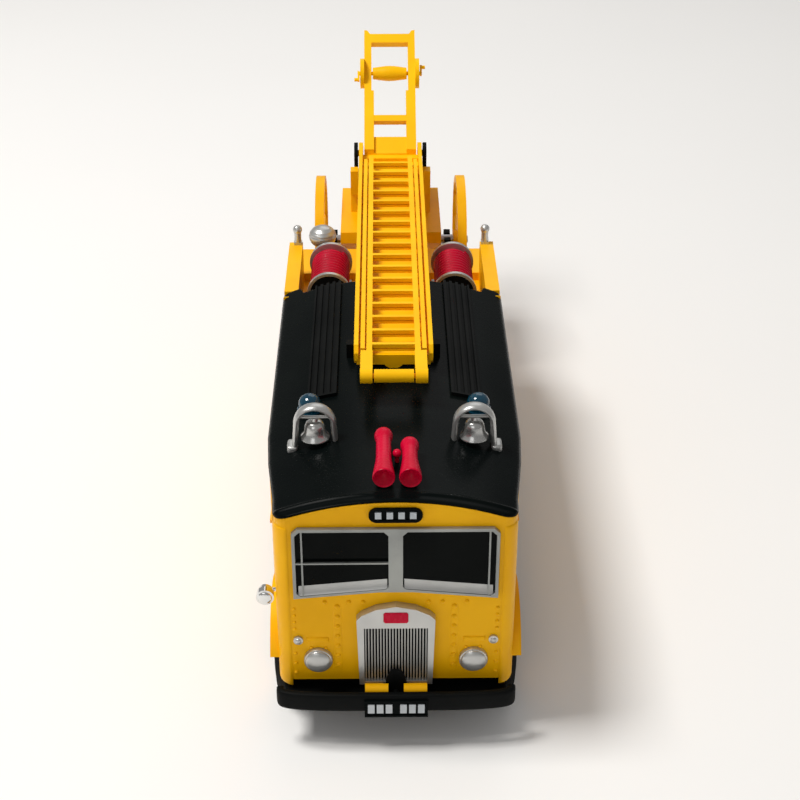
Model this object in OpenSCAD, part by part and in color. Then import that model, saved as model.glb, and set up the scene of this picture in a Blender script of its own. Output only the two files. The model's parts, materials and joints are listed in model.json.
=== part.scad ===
// Fire engine with a wheeled escape ladder: collector's scale model, built as an assembly.
// Origin: middle of the overall box at wheel-contact level. Front faces -Y, up is +Z.

/* [Body] */
// half width of the roof over the crew cab
roof_hw = 23.6; // [20:0.1:28]
// half width of the roof at the front corners
roof_front_hw = 21.3; // [18:0.1:26]
// front edge of the roof, along Y
front_y = -83.3; // [-100:0.1:-70]
// rear edge of the roof, along Y
roof_rear_y = 0.5; // [-20:0.5:20]
// end of the open well behind the roof, along Y
well_rear_y = 28; // [20:0.5:40]
// rear end of the body, along Y
body_rear_y = 41; // [30:0.5:50]
// height of the roof crown
crown_z = 50.5; // [40:0.1:60]
// radius of the roof camber across the vehicle
camber_r = 58; // [40:1:120]
// thickness of the roof moulding
roof_t = 0.7; // [0.5:0.1:2]
// body wall thickness
wall = 1.2; // [0.8:0.1:2.5]
// rear end of the roof corners, along Y
corner_y = 3; // [0.5:0.1:5]
// height of the side walls of the open well
rail_z = 46; // [40:0.5:50]
// height of the well floor
deck_z = 36; // [30:0.5:40]
// height of the rear body behind the well
tail_z = 38; // [30:0.5:42]
// bottom edge of the body sides
sill_z = 9.5; // [6:0.5:14]

/* [Windscreen and radiator] */
// half width of the windscreen frame
screen_hw = 18.0; // [14:0.05:20]
// top of the windscreen frame
screen_top = 44.8; // [40:0.1:48]
// bottom of the windscreen frame at the outer ends
screen_bot = 29.9; // [25:0.1:34]
// half width of the radiator shell
rad_hw = 7; // [5:0.1:9]
// top of the radiator shell
rad_top = 28.7; // [24:0.1:34]
// bottom of the radiator shell
rad_bot = 11; // [9:0.1:16]
// number of radiator slats
slats = 21; // [9:2:31]

/* [Road wheels] */
// tyre radius
tyre_r = 10; // [7:0.1:13]
// wheel disc radius inside the tyre
rim_r = 6.6; // [4:0.1:9]
// front axle position along Y
front_axle_y = -70; // [-78:0.5:-60]
// rear axle position along Y
rear_axle_y = 12; // [0:0.5:25]
// road axle diameter
axle_d = 2; // [1.5:0.1:3]
// axle bore diameter in the chassis
axle_bore_d = 2.1; // [1.6:0.05:3.2]

/* [Mount] */
// diameter of the plinth screw holes under the chassis
mount_d = 2.5; // [2:0.1:4]
// plinth screw hole positions along Y, front one
mount_front_y = -50; // [-60:1:-40]
// plinth screw hole positions along Y, rear one
mount_rear_y = 22; // [18:1:30]

/* [Roof fittings] */
// bell distance from the centre line
bell_x = 14.4; // [10:0.1:18]
// bell position along Y
bell_y = -62; // [-70:0.5:-50]
// height of the bell pivot
bell_pivot_z = 54.0; // [50:0.1:58]
// beacon distance from the centre line
beacon_x = 15.8; // [10:0.1:20]
// beacon position along Y
beacon_y = -50.5; // [-60:0.5:-40]
// horn axis height
horn_z = 52.5; // [51:0.1:54]
// ladder rest position along Y
rest_y = -32; // [-40:0.5:-20]

/* [Hose reels] */
// reel axis distance from the centre line
reel_x = 13.7; // [10:0.1:17]
// reel axis height
reel_z = 45; // [42:0.5:50]
// front face of the reel flanges, along Y
reel_y0 = 4; // [2:0.5:8]
// reel length along Y
reel_len = 16; // [8:0.5:20]
// reel flange diameter
flange_d = 9.6; // [7:0.1:11]
// wound hose diameter
hose_d = 8.6; // [4:0.1:9]

/* [Escape ladder] */
// rung pitch
pitch = 5.6; // [4:0.1:7]
// first rung of the top section, along Y
rung_y0 = -38.7; // [-45:0.1:-30]
// top of the ladder strings
string_top = 56.2; // [55:0.1:60]
// bottom of the main strings
string_bot = 52.2; // [50:0.1:54]
// outer half width of the main section
main_hw = 7.6; // [6:0.1:9]
// trunnion position along Y
trun_y = 63.3; // [55:0.1:70]
// trunnion height
trun_z = 53.5; // [50:0.1:58]
// slope of the tail frame in degrees
tail_slope = 37; // [20:1:60]
// length of the tail frame
tail_len = 33.8; // [20:0.1:40]
// winch position along the tail frame
winch_s = 22.6; // [18:0.1:26]

/* [Escape carriage] */
// carriage wheel radius
cw_r = 16; // [12:0.1:20]
// carriage axle position along Y
cw_y = 59; // [50:0.5:65]
// carriage axle height
cw_z = 32; // [26:0.5:36]
// inner face of the carriage wheel rim
cw_x = 16.2; // [15:0.1:19]
// carriage wheel rim width
cw_w = 2.2; // [1.5:0.1:3]
// number of carriage wheel spokes
spokes = 12; // [8:1:16]

/* [Hidden] */
$fn = 48;
camber_z = crown_z - camber_r;
body_e = -0.15;
face_y = front_y - body_e;
base_hw = 10.8;
base_z0 = 8.5;
base_z1 = 11.5;
rear_hw = roof_hw + body_e;
rungs = 17;

// plan outline of the body, grown by e, ending at y1
function corner(s, e) = [for (i = [0:6]) let (a = s > 0 ? -90 + 15 * i : 180 + 15 * i)
  [s * (roof_front_hw - 3) + (3 + e) * cos(a), front_y + 3 + (3 + e) * sin(a)]];
function side(s, e, y1) = [[s * (21.5 + e), -76.5], [s * (22.3 + e), -70],
  [s * (23.0 + e), -64], [s * (roof_hw + e), -55], [s * (roof_hw + e), y1]];
function rev(v) = [for (i = [len(v) - 1:-1:0]) v[i]];

module plan(e, y1) {
  polygon(concat(corner(-1, e), corner(1, e), side(1, e, y1), rev(side(-1, e, y1))));
}

// solid below the cambered roof line, offset inward by d
module camber(d) {
  translate([0, -100, camber_z])
    rotate([-90, 0, 0]) cylinder(r = camber_r - d, h = 200, $fn = 180);
}

module along_x(d, x0, x1, y, z) {
  translate([x0, y, z]) rotate([0, 90, 0]) cylinder(d = d, h = x1 - x0);
}

module along_y(d, y0, y1, x, z) {
  translate([x, y0, z]) rotate([-90, 0, 0]) cylinder(d = d, h = y1 - y0);
}

module box(x0, x1, y0, y1, z0, z1) {
  translate([x0, y0, z0]) cube([x1 - x0, y1 - y0, z1 - z0]);
}

module both_sides() {
  children();
  mirror([1, 0, 0]) children();
}

module chassis_base() {
  color([0.07, 0.07, 0.07]) difference() {
    union() {
      box(-base_hw, base_hw, -82, body_rear_y - wall, base_z0, base_z1);
      box(-21.8, 21.8, -55, -4, base_z0, base_z1);
      box(-21.8, 21.8, 27, body_rear_y - wall, base_z0, base_z1);
      box(-18, 18, -81.5, -80.7, base_z0, base_z1);
    }
    along_x(axle_bore_d, -30, 30, front_axle_y, tyre_r);
    along_x(axle_bore_d, -30, 30, rear_axle_y, tyre_r);
    for (y = [mount_front_y, mount_rear_y])
      translate([0, y, base_z0 - 1]) cylinder(d = mount_d, h = 6);
    for (y = [-28, 34]) {
      translate([0, y, base_z0 - 1]) cylinder(d = 2, h = 6);
      translate([0, y, base_z0 - 1]) cylinder(d = 4, h = 2.2);
    }
  }
}

module chassis_screws() {
  color([0.6, 0.6, 0.62]) for (y = [-28, 34]) difference() {
    union() {
      translate([0, y, base_z0 + 0.2]) cylinder(d = 3.6, h = 1);
      translate([0, y, base_z0 + 0.6]) cylinder(d = 1.9, h = 5.8);
    }
    box(-1.2, 1.2, y - 0.25, y + 0.25, base_z0, base_z0 + 0.7);
    box(-0.25, 0.25, y - 1.2, y + 1.2, base_z0, base_z0 + 0.7);
  }
}

module window_cuts(x0) {
  for (w = [[-78, -67.5], [-62.5, -51], [-48, -38.5], [-36, -26.5]])
    translate([x0, w[0], 34]) cube([4, w[1] - w[0], 8.6]);
}

module body_shell() {
  color([0.83, 0.60, 0.02]) difference() {
    union() {
      intersection() {
        difference() {
          translate([0, 0, sill_z]) linear_extrude(50) plan(body_e, roof_rear_y + 0.4);
          translate([0, 0, 0]) linear_extrude(80) plan(body_e - wall, roof_rear_y - wall);
        }
        camber(roof_t);
      }
      both_sides() {
        box(20.4, rear_hw, roof_rear_y, well_rear_y, deck_z - 2, rail_z);
        box(rear_hw - wall, rear_hw, roof_rear_y, body_rear_y, sill_z, deck_z);
      }
      box(-20.6, 20.6, roof_rear_y - 0.4, well_rear_y + 0.4, deck_z - 2, deck_z);
      box(-rear_hw, rear_hw, well_rear_y, well_rear_y + wall, deck_z - 2, tail_z);
      box(-rear_hw, rear_hw, well_rear_y, body_rear_y, tail_z - wall, tail_z);
      box(-rear_hw, rear_hw, body_rear_y - wall, body_rear_y, sill_z, tail_z);
      both_sides() box(rear_hw - wall, rear_hw, well_rear_y, body_rear_y, deck_z - 1, tail_z);
      both_sides() difference() {
        along_x(24.2, 20.6, 22.9, front_axle_y, tyre_r);
        box(20, 24, front_axle_y - 13, front_axle_y + 13, -5, 14.5);
      }
    }
    box(-screen_hw + 0.5, screen_hw - 0.5, front_y - 2, face_y + 2, 31.35, screen_top - 0.4);
    both_sides() box(9, screen_hw - 0.5, front_y - 2, face_y + 2, 30.4, 33);
    box(-18.9, 18.9, front_y - 2, face_y + 4, 0, 10.9);
    box(-6.4, 6.4, front_y - 2, face_y + 4, 0, 12.7);
    both_sides() difference() {
      box(18.5, 26, roof_rear_y + 0.2, corner_y + 0.15, 40, 60);
      camber(roof_t);
    }
    box(-21.8, 21.8, -5, 27, 0, base_z1);
    both_sides() {
      along_x(22.6, 10, 30, front_axle_y, tyre_r);
      along_x(22.8, 10, 30, rear_axle_y, tyre_r);
      box(10, 30, front_axle_y - 13, front_axle_y + 13, -5, sill_z);
      window_cuts(20);
    }
  }
  color([0.83, 0.60, 0.02]) both_sides() {
    for (y = [-49.5, -25])
      box(rear_hw - 0.9, rear_hw + 0.12, y - 0.1, y + 0.1, 24, 40);
    box(rear_hw - 0.5, rear_hw + 0.5, -47.6, -44.8, 30.6, 31.2);
    box(rear_hw - 0.5, rear_hw + 0.35, -57, -1.5, 27.2, 27.9);
    for (i = [0:11])
      box(rear_hw - 0.5, rear_hw + 0.25, -23, -12, 12 + 1.9 * i - 0.45, 12 + 1.9 * i + 0.45);
    for (i = [0:5])
      box(rear_hw - 0.5, rear_hw + 0.25, 27.5, 38.5, 14 + 3 * i - 0.9, 14 + 3 * i + 0.9);
  }
}

module cab_roof() {
  color([0.05, 0.06, 0.055]) difference() {
    intersection() {
      union() {
        linear_extrude(80) plan(0, roof_rear_y);
        both_sides() linear_extrude(80)
          polygon([[19.2, roof_rear_y - 1], [roof_hw, roof_rear_y - 1], [roof_hw, corner_y - 0.8],
            [roof_hw - 0.25, corner_y - 0.25], [roof_hw - 0.8, corner_y],
            [19.8, corner_y], [19.2, corner_y - 0.6]]);
      }
      camber(0);
    }
    camber(roof_t);
    translate([0, 0, -1]) linear_extrude(40) plan(2, 20);
  }
}

// ribbed tread strips lying on the camber
module walkways() {
  color([0.04, 0.045, 0.04]) both_sides() difference() {
    intersection() {
      union() {
        box(10.9, 16.5, -47, roof_rear_y - 0.2, 40, 60);
      }
      camber(-0.7);
    }
    camber(0);
    intersection() {
      for (i = [0:3]) box(11.5 + 1.3 * i, 12.2 + 1.3 * i, -46.4, roof_rear_y + 1, 40, 60);
      difference() {
        camber(-2);
        camber(-0.3);
      }
    }
  }
}

module cab_interior() {
  color([0.10, 0.10, 0.11]) {
    difference() {
      union() {
        box(-20, 20, -55, -4, base_z1, base_z1 + 2.5);
        box(-10.6, 10.6, -80, -57, base_z1, base_z1 + 2.5);
        box(-19, 19, -80.8, -78.6, 22, 28.5);
        box(-10.6, 10.6, -80.8, -78.6, base_z1, 28.5);
        for (x = [-17.5, 5.5]) box(x, x + 12, -58, -50, base_z1, 21);
        for (x = [-17.5, 5.5]) box(x, x + 12, -51.6, -50, 21, 30);
        box(-19.4, 19.4, -30, -22, base_z1, 21);
        box(-19.4, 19.4, -23.6, -22, 21, 32);
      }
      translate([0, -28, base_z1 - 3]) cylinder(d = 2, h = 6.9);
    }
  }
}

module steering_wheel() {
  color([0.03, 0.03, 0.03]) translate([-11.5, -74.2, 28.6]) rotate([28, 0, 0]) {
    rotate_extrude() translate([3.6, 0]) circle(d = 0.8, $fn = 20);
    difference() {
      cylinder(d = 1.8, h = 0.8, center = true);
    }
    for (a = [90, 210, 330]) rotate([0, 0, a]) box(0.5, 3.5, -0.25, 0.25, -0.2, 0.2);
  }
  color([0.03, 0.03, 0.03]) difference() {
    translate([-11.5, -74.2, 28.6]) rotate([28, 0, 0])
      translate([0, 0, -6.4]) cylinder(d = 1.1, h = 6.3);
    box(-20, 20, -90, -78.6, 10, 40);
  }
}

module screen_face(g, y0, y1) {
  translate([0, y1, 0]) rotate([90, 0, 0]) linear_extrude(y1 - y0)
    polygon([[-screen_hw + g, screen_bot + g], [-3, screen_bot + 1.4 + g],
      [3, screen_bot + 1.4 + g], [screen_hw - g, screen_bot + g],
      [screen_hw - g, screen_top - 1 - g], [screen_hw - 1 - g, screen_top - g],
      [-screen_hw + 1 + g, screen_top - g], [-screen_hw + g, screen_top - 1 - g]]);
}

module pane(s, g, y0, y1) {
  x0 = 1.25 + g;
  x1 = screen_hw - 0.55 - g;
  translate([0, y1, 0]) rotate([90, 0, 0]) linear_extrude(y1 - y0)
    polygon([[s * (x0 + 0.5), 31.9 + g], [s * x0, 32.4 + g], [s * x0, screen_top - 1.4 - g],
      [s * (x0 + 0.8), screen_top - 0.6 - g], [s * (x1 - 0.8), screen_top - 0.6 - g],
      [s * x1, screen_top - 1.4 - g], [s * x1, 31.0 + g], [s * (x1 - 0.7), 30.42 + g]]);
}

module windscreen_frame() {
  color([0.72, 0.73, 0.72]) {
    difference() {
      screen_face(0, face_y - 0.8, face_y);
      for (s = [-1, 1]) pane(s, 0, face_y - 2, face_y + 1);
    }
    for (s = [-1, 1])
      box(s * 16.3 - 0.15, s * 16.3 + 0.15, face_y - 0.7, face_y - 0.3, 30.3, screen_top - 0.5);
    box(-screen_hw + 0.4, -1.1, face_y - 0.7, face_y - 0.3, 37.3, 37.6);
  }
}

module windscreen_glass() {
  color([0.20, 0.24, 0.25, 0.5]) {
    box(-screen_hw + 0.55, screen_hw - 0.55, face_y, face_y + 0.8, 31.4, screen_top - 0.45);
    both_sides() box(9.05, screen_hw - 0.55, face_y, face_y + 0.8, 30.45, 33);
  }
}

module side_windows() {
  color([0.20, 0.24, 0.25, 0.5]) both_sides() intersection() {
    translate([0, 0, 33]) linear_extrude(10.2) difference() {
      plan(body_e - wall, 0);
      plan(body_e - wall - 0.6, 10);
    }
    box(15, 30, -78.4, -25.5, 30, 50);
  }
}

module sign_box() {
  color([0.03, 0.03, 0.03]) difference() {
    hull() {
      along_y(2.9, face_y - 0.5, face_y, -3.2, 47.4);
      along_y(2.9, face_y - 0.5, face_y, 3.2, 47.4);
    }
    box(-3.6, 3.6, face_y - 3, face_y - 0.25, 46.5, 48.3);
  }
}

module sign_inlay() {
  color([0.85, 0.85, 0.78]) {
    for (x = [-3.0, -1.0, 1.0, 3.0])
      box(x - 0.55, x + 0.55, face_y - 0.52, face_y - 0.25, 46.75, 48.1);
  }
}

module front_bumper() {
  color([0.04, 0.04, 0.04]) translate([0, 0, 8]) linear_extrude(3.8)
    polygon([[-21.6, -86.2], [-21.2, -87.1], [-20, -87.8], [-17, -88.5], [-13, -89],
      [13, -89], [17, -88.5], [20, -87.8], [21.2, -87.1], [21.6, -86.2], [21.3, -85.4],
      [20.4, -85.4], [19.6, -86], [17, -86.8], [12.8, -87.4],
      [-12.8, -87.4], [-17, -86.8], [-19.6, -86], [-20.4, -85.4], [-21.3, -85.4]]);
}

module number_plate() {
  color([0.03, 0.03, 0.03]) difference() {
    box(-5.7, 5.7, -89.4, -89, 7.2, 10.9);
    box(-5.4, 5.4, -90, -89.2, 7.6, 10.6);
  }
}

module plate_tiles() {
  color([0.7, 0.7, 0.7]) for (x = [-4.5, -2.9, -1.3, 1.3, 2.9, 4.5])
    box(x - 0.6, x + 0.6, -89.4, -89.2, 8.1, 10.1);
}

module dumb_irons() {
  color([0.83, 0.60, 0.02]) both_sides() difference() {
    union() {
      box(1.4, 5.6, -87.3, -82, 9.2, 11.2);
      along_x(2.2, 1.4, 5.6, -86.2, 11);
    }
    box(0, 8, -90, -87.4, 5, 20);
    box(0, 8, -85.1, -80, 10.8, 20);
    box(0, 2.3, -85.8, -84.7, 5, 20);
  }
}

module starting_handle() {
  color([0.03, 0.03, 0.03]) {
    along_y(1.8, -85.4, -82, 0, 9.9);
    along_y(1, -86.9, -85.3, 0, 9.9);
    translate([0, -85.1, 0]) rotate([90, 0, 0]) linear_extrude(0.4)
      polygon([[-1.3, 9.2], [1.3, 9.2], [2, 10.6], [1.7, 13], [0.9, 14.8], [-0.9, 14.8],
        [-1.7, 13], [-2, 10.6]]);
  }
}

module rad_outline(g) {
  polygon([[-rad_hw + 0.4 + g, rad_bot + g], [rad_hw - 0.4 - g, rad_bot + g],
    [rad_hw - g, rad_top - 3 - g], [rad_hw - 0.9 - g, rad_top - 2 - g],
    [3.6, rad_top - 0.7 - g], [0, rad_top - g], [-3.6, rad_top - 0.7 - g],
    [-rad_hw + 0.9 + g, rad_top - 2 - g], [-rad_hw + g, rad_top - 3 - g]]);
}

module radiator_shell() {
  color([0.70, 0.71, 0.70]) difference() {
    translate([0, face_y, 0]) rotate([90, 0, 0]) linear_extrude(1.7) rad_outline(0);
    box(-5.7, 5.7, face_y - 4, face_y - 0.4, rad_bot + 0.7, 23.9);
    translate([0, face_y - 1.5, 26.3]) rotate([90, 0, 0]) linear_extrude(2)
      polygon([[-2.25, -0.8], [-1.95, -1.15], [1.95, -1.15], [2.25, -0.8], [2.25, 0.8],
        [1.95, 1.15], [-1.95, 1.15], [-2.25, 0.8]]);
  }
}

module radiator_grille() {
  color([0.55, 0.56, 0.56]) {
    box(-5.68, 5.68, face_y - 0.7, face_y - 0.4, rad_bot + 0.72, 23.88);
    for (i = [0:slats - 1])
      box(-5.4 + i * 10.8 / (slats - 1) - 0.14, -5.4 + i * 10.8 / (slats - 1) + 0.14,
        face_y - 1.4, face_y - 0.6, rad_bot + 0.72, 23.88);
  }
}

module radiator_badge() {
  color([0.65, 0.04, 0.08]) translate([0, face_y - 1.5, 26.3]) rotate([90, 0, 0])
    linear_extrude(0.35)
      polygon([[-2.2, -0.78], [-1.92, -1.1], [1.92, -1.1], [2.2, -0.78], [2.2, 0.78],
        [1.92, 1.1], [-1.92, 1.1], [-2.2, 0.78]]);
}

module lamp(r, t, dome) {
  rotate([90, 0, 0]) rotate_extrude() polygon(concat([[0, 0], [r, 0], [r, t]],
    [for (i = [1:8]) [(r - 0.3) * cos(i * 11.25), t + dome * sin(i * 11.25)]]));
}

module headlamps() {
  color([0.75, 0.76, 0.76]) both_sides() translate([14, face_y, 15.7]) lamp(2.6, 0.9, 0.8);
}

module sidelamps() {
  color([0.75, 0.76, 0.76]) both_sides() translate([17.5, face_y, 20.2]) lamp(0.85, 0.5, 0.4);
}

module front_trims() {
  color([0.83, 0.60, 0.02]) both_sides() {
    box(12, 16.1, face_y - 0.35, face_y, 19.6, 20.7);
    for (i = [0:6]) translate([10.4, face_y, 14.4 + 2.2 * i]) lamp(0.42, 0.2, 0.3);
    for (x = [5.8, 8.3, 12.6]) translate([x, face_y, 28.6]) lamp(0.42, 0.2, 0.3);
    for (i = [0:3]) translate([18.1, face_y, 22.6 + 1.5 * i]) lamp(0.35, 0.15, 0.25);
    for (i = [0:2]) translate([18.1, face_y, 12.6 + 2.2 * i]) lamp(0.35, 0.15, 0.25);
  }
}

module spot_lamp() {
  color([0.78, 0.78, 0.78]) {
    translate([-23.3, -79.8, 28]) lamp(1.6, 1.2, 0.5);
    translate([-23.3, -79.8, 28]) rotate([-90, 0, 0])
      rotate_extrude() polygon([[0, 0], [1.6, 0], [1.35, 1], [0.8, 1.7], [0, 1.9]]);
    difference() {
      along_x(0.8, -22.2, -20, -78.6, 28);
      linear_extrude(60) plan(body_e, 0);
    }
  }
}

module pump_inlet() {
  color([0.70, 0.70, 0.70]) {
    along_x(5, rear_hw, rear_hw + 0.6, -8, 18);
    along_x(3.6, rear_hw + 0.6, rear_hw + 1.9, -8, 18);
    box(rear_hw + 0.6, rear_hw + 1.5, -8.3, -7.7, 15.8, 20.2);
  }
}

module beacon_bases() {
  color([0.08, 0.12, 0.3]) both_sides() difference() {
    translate([beacon_x, beacon_y, 44]) cylinder(d = 4.8, h = 4.8);
    camber(0);
  }
}

module beacon_domes() {
  color([0.10, 0.35, 0.62, 0.7]) both_sides() translate([beacon_x, beacon_y, 48.8])
    rotate_extrude() polygon(concat([[0, 0]],
      [for (i = [0:9]) [2.15 * cos(i * 10), 1.2 + 1.9 * sin(i * 10)]], [[0, 3.1]],
      []));
}

module bell_brackets() {
  color([0.75, 0.76, 0.76]) both_sides() difference() {
    translate([bell_x, bell_y, 0]) {
      difference() {
        union() {
          along_y(7.8, -1.3, 1.3, 0, 52.8);
          translate([0, 1.3, 0]) rotate([90, 0, 0]) linear_extrude(2.6)
            polygon([[-4.4, 45], [4.4, 45], [3.9, 52.8], [-3.9, 52.8]]);
          box(-5.2, -3.1, -2, 2, 45, 49.6);
          box(3.1, 5.2, -2, 2, 45, 48.6);
        }
        along_y(5.6, -5, 5, 0, 52.8);
        translate([0, 5, 0]) rotate([90, 0, 0]) linear_extrude(10)
          polygon([[-3.1, 40], [3.1, 40], [2.8, 52.8], [-2.8, 52.8]]);
      }
      along_x(0.7, -3.2, 3.2, 0, bell_pivot_z);
    }
    camber(0);
  }
}

module bell(s) {
  color([0.80, 0.79, 0.75]) translate([s * bell_x, bell_y, bell_pivot_z]) difference() {
    union() {
      rotate_extrude() polygon([[0, -0.2], [0.55, -0.2], [0.6, -0.8], [1.3, -1.0], [1.75, -1.6],
        [1.9, -2.7], [2.2, -3.5], [2.65, -4.0], [2.65, -4.25], [2.2, -4.25], [1.75, -3.5],
        [1.45, -2.6], [1.2, -1.8], [0, -1.5]]);
      along_x(1.6, -0.6, 0.6, 0, 0);
    }
    along_x(0.86, -2, 2, 0, 0);
  }
}

module bell_left() { bell(1); }
module bell_right() { bell(-1); }

module horn(x, y1) {
  translate([x, -79.7, horn_z]) rotate([-90, 0, 0]) rotate_extrude()
    polygon([[0.7, 0.9], [1.75, 0], [2, 0], [2, 1.6], [1.85, 3.4], [1.55, 5.6],
      [1.35, y1 - 2.2], [1.65, y1 - 1.6], [1.65, y1 - 0.4], [1.2, y1], [0, y1], [0, 1.4]]);
  for (y = [-77.4, -79.7 + y1 - 1.6]) difference() {
    box(x - 0.5, x + 0.5, y - 0.4, y + 0.4, 48, horn_z - 0.8);
    camber(0);
  }
}

module horns() {
  color([0.68, 0.04, 0.12]) {
    horn(-2.0, 14.4);
    horn(2.6, 11.2);
  }
}

module horn_compressor() {
  color([0.68, 0.04, 0.12]) difference() {
    union() {
      translate([0.35, -71.4, 52.2]) sphere(d = 1.6);
      translate([0.35, -71.4, 48]) cylinder(d = 0.8, h = 4);
    }
    camber(0);
  }
}

module ladder_rest() {
  color([0.04, 0.045, 0.04]) difference() {
    union() {
      both_sides() box(7.9, 9.2, rest_y - 1, rest_y + 1, 46, 51.9);
      box(-9.2, 9.2, rest_y - 1, rest_y + 1, 50.9, 51.9);
      both_sides() box(7.9, 9.2, rest_y - 1, rest_y + 1, 51.9, 52.8);
    }
    camber(0);
    both_sides() along_x(1, 7, 12, rest_y, 49.6);
  }
}

module reel_cradles() {
  color([0.66, 0.67, 0.67]) both_sides() {
    difference() {
      union() {
        box(9.2, 18.2, 2.4, 21.8, deck_z, deck_z + 1.2);
        for (y = [2.4, 20.6]) {
          box(reel_x - 1.8, reel_x + 1.8, y, y + 1.2, deck_z, reel_z);
          along_y(3.6, y, y + 1.2, reel_x, reel_z);
        }
        for (x = [9.2, 17.4]) box(x, x + 0.8, 2.4, 21.8, deck_z, deck_z + 3.4);
      }
      along_y(1.7, 0, 30, reel_x, reel_z);
    }
  }
}

module reel(x) {
  color([0.70, 0.71, 0.70]) {
    difference() {
      union() {
        along_y(flange_d, reel_y0, reel_y0 + 0.9, x, reel_z);
        along_y(flange_d, reel_y0 + reel_len - 0.9, reel_y0 + reel_len, x, reel_z);
        along_y(3.4, reel_y0, reel_y0 + reel_len, x, reel_z);
      }
      difference() {
        along_y(8.4, reel_y0 - 1, reel_y0 + 0.35, x, reel_z);
        along_y(2.6, reel_y0 - 1, reel_y0 + 0.35, x, reel_z);
      }
    }
    along_y(1.6, 2.3, 21.9, x, reel_z);
  }
}

module reel_left() { reel(reel_x); }
module reel_right() { reel(-reel_x); }

module hose(x) {
  n = 9;
  w = (reel_len - 1.8) / n;
  color([0.70, 0.04, 0.12]) translate([x, reel_y0 + 0.9, reel_z]) rotate([-90, 0, 0])
    rotate_extrude() polygon(concat([[1.7, 0]],
      [for (i = [0:n - 1], j = [0:4]) [hose_d / 2 - 0.3 * (1 - sin(j * 45)), w * (i + j / 4.2)]],
      [[hose_d / 2 - 0.3, reel_len - 1.8], [1.7, reel_len - 1.8]]));
}

module hose_left() { hose(reel_x); }
module hose_right() { hose(-reel_x); }

module searchlight() {
  color([0.74, 0.75, 0.75]) translate([-15.7, 25.4, 0]) {
    translate([0, 0, deck_z]) cylinder(d = 3.4, h = 1);
    translate([0, 0, deck_z + 1]) cylinder(d = 1.6, h = 10.2);
    translate([0, 0, deck_z + 11]) rotate_extrude() polygon(concat([[0, 0], [2.4, 0], [3.0, 1.4]],
      [for (i = [0:9]) [3.15 * cos(i * 10), 2.0 + 2.3 * sin(i * 10)]], [[0, 4.3]]));
  }
}

module rail_handles() {
  color([0.74, 0.75, 0.75]) both_sides() {
    box(20.6, 22.4, 26.4, 28, rail_z, rail_z + 0.6);
    translate([21.5, 27.2, rail_z + 0.6]) cylinder(d = 1.6, h = 2.8);
    translate([21.5, 27.2, rail_z + 3.6]) sphere(d = 2.1);
  }
}

module escape_brackets() {
  color([0.05, 0.05, 0.05]) both_sides() difference() {
    union() {
      box(13.4, 15, body_rear_y, 62.4, 27.6, 30.6);
      box(13.4, 15, 56, 62.4, 30.6, 33.2);
      box(11, 17.4, body_rear_y, body_rear_y + 1.2, 24, 33);
      translate([13.4, body_rear_y + 1.2, 0]) rotate([90, 0, 90]) linear_extrude(1.6)
        polygon([[-0.2, 24.2], [8, 27.7], [-0.2, 27.7]]);
    }
    along_x(2.7, 12, 18, cw_y, cw_z);
    box(12, 18, cw_y - 1.35, cw_y + 1.35, cw_z, cw_z + 6);
  }
}

module rear_lamps() {
  color([0.6, 0.03, 0.03]) both_sides() translate([19.6, body_rear_y, 18])
    rotate([-90, 0, 0]) rotate_extrude()
      polygon([[0, 0], [1.3, 0], [1.3, 0.5], [1.0, 0.9], [0, 1.1]]);
}

module road_axle(y, hx) {
  color([0.6, 0.6, 0.62]) along_x(axle_d, -hx, hx, y, tyre_r);
}

module wheel_disc(x0, w, y) {
  translate([x0, y, tyre_r]) rotate([0, 90, 0]) difference() {
    cylinder(r = rim_r, h = w);
    translate([0, 0, -1]) cylinder(d = axle_d, h = w + 2);
    translate([0, 0, w - 1.2]) difference() {
      cylinder(r = rim_r - 1, h = 3);
      translate([0, 0, -1]) cylinder(r = 2.2, h = 5);
    }
    for (a = [0:60:300]) rotate([0, 0, a]) translate([3.9, 0, -1]) cylinder(d = 1.5, h = w + 2);
  }
}

module tyre(x0, w, y) {
  translate([x0, y, tyre_r]) rotate([0, 90, 0]) rotate_extrude($fn = 72)
    polygon([[rim_r, 0], [rim_r + 0.6, -0.3], [tyre_r - 0.8, 0], [tyre_r - 0.1, 0.8],
      [tyre_r, w * 0.35], [tyre_r - 0.35, w * 0.38], [tyre_r - 0.35, w * 0.46],
      [tyre_r, w * 0.48], [tyre_r, w * 0.52], [tyre_r - 0.35, w * 0.54],
      [tyre_r - 0.35, w * 0.62], [tyre_r, w * 0.65], [tyre_r - 0.1, w - 0.8],
      [tyre_r - 0.8, w], [rim_r + 0.6, w + 0.3], [rim_r, w]]);
}

module front_axle() { road_axle(front_axle_y, 22); }
module rear_axle() { road_axle(rear_axle_y, 21.6); }

module front_wheels() {
  color([0.78, 0.56, 0.02]) both_sides() wheel_disc(17.6, 4.6, front_axle_y);
}

module front_tyres() {
  color([0.05, 0.05, 0.05]) both_sides() tyre(17.6, 4.6, front_axle_y);
}

module rear_wheels() {
  color([0.78, 0.56, 0.02]) both_sides() {
    wheel_disc(11.6, 4.4, rear_axle_y);
    wheel_disc(17.0, 4.4, rear_axle_y);
  }
}

module rear_tyres() {
  color([0.05, 0.05, 0.05]) both_sides() {
    tyre(11.6, 4.4, rear_axle_y);
    tyre(17.0, 4.4, rear_axle_y);
  }
}

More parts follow.
